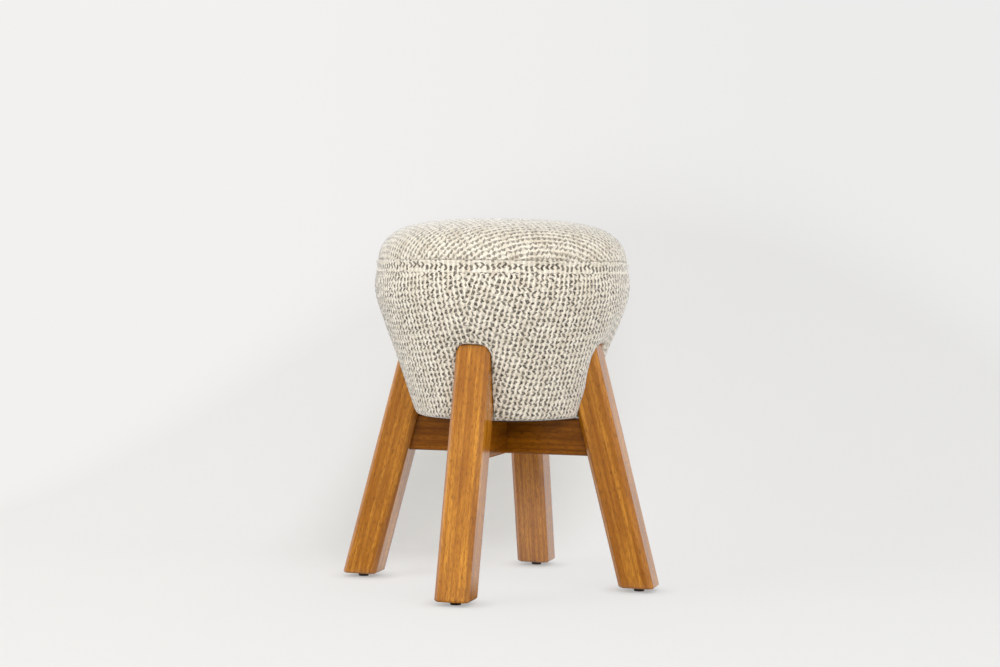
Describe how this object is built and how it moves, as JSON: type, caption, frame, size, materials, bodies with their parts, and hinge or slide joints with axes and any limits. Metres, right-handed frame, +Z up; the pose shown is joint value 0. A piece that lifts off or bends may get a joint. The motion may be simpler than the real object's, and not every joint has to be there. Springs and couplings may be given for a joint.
{
  "type": "footstool",
  "caption": "Round bulb-shaped padded footstool in a chunky woven cover, on splayed chamfered timber legs let into its side and tied by crossed rails.",
  "frame": {"origin": "on the floor under the middle of the seat, level with the undersides of the glides", "axes": "+Z up through the middle of the seat; the legs stand on the X and Y axes, the front leg towards -Y"},
  "size_m": [0.3964, 0.3964, 0.45],
  "materials": {
    "lacquered_timber": "satin lacquered honey-brown timber",
    "bare_hardwood": "sawn, unfinished",
    "plywood": "sanded plywood",
    "glide_plastic": "moulded, matt",
    "zinc_steel": "zinc plated",
    "insert_brass": "turned",
    "foam": "open-cell polyurethane foam",
    "woven_cover": "chunky two-tone weave, cream and taupe",
    "dust_cloth": "spun-bonded black cloth"
  },
  "bodies": {
    "root": {"leg_right": "lacquered_timber", "glide_right": "glide_plastic", "leg_block_right": "bare_hardwood", "leg_back": "lacquered_timber", "glide_back": "glide_plastic", "leg_block_back": "bare_hardwood", "leg_left": "lacquered_timber", "glide_left": "glide_plastic", "leg_block_left": "bare_hardwood", "leg_front": "lacquered_timber", "glide_front": "glide_plastic", "leg_block_front": "bare_hardwood", "cross_rail_left_right": "lacquered_timber", "cross_rail_front_back": "lacquered_timber", "base_board": "plywood", "top_board": "plywood", "glide_nails": "zinc_steel", "leg_bolts": "zinc_steel", "bolt_washers": "zinc_steel", "base_board_screws": "zinc_steel", "top_board_screws": "zinc_steel", "rail_screws": "zinc_steel", "leg_inserts": "insert_brass", "side_foam": "foam", "upper_foam": "foam", "crown_foam": "foam", "side_panel_back_right": "woven_cover", "side_panel_back_left": "woven_cover", "side_panel_front_left": "woven_cover", "side_panel_front_right": "woven_cover", "top_panel": "woven_cover", "seam_band": "woven_cover", "dust_cover": "dust_cloth"}
  },
  "joints": []
}
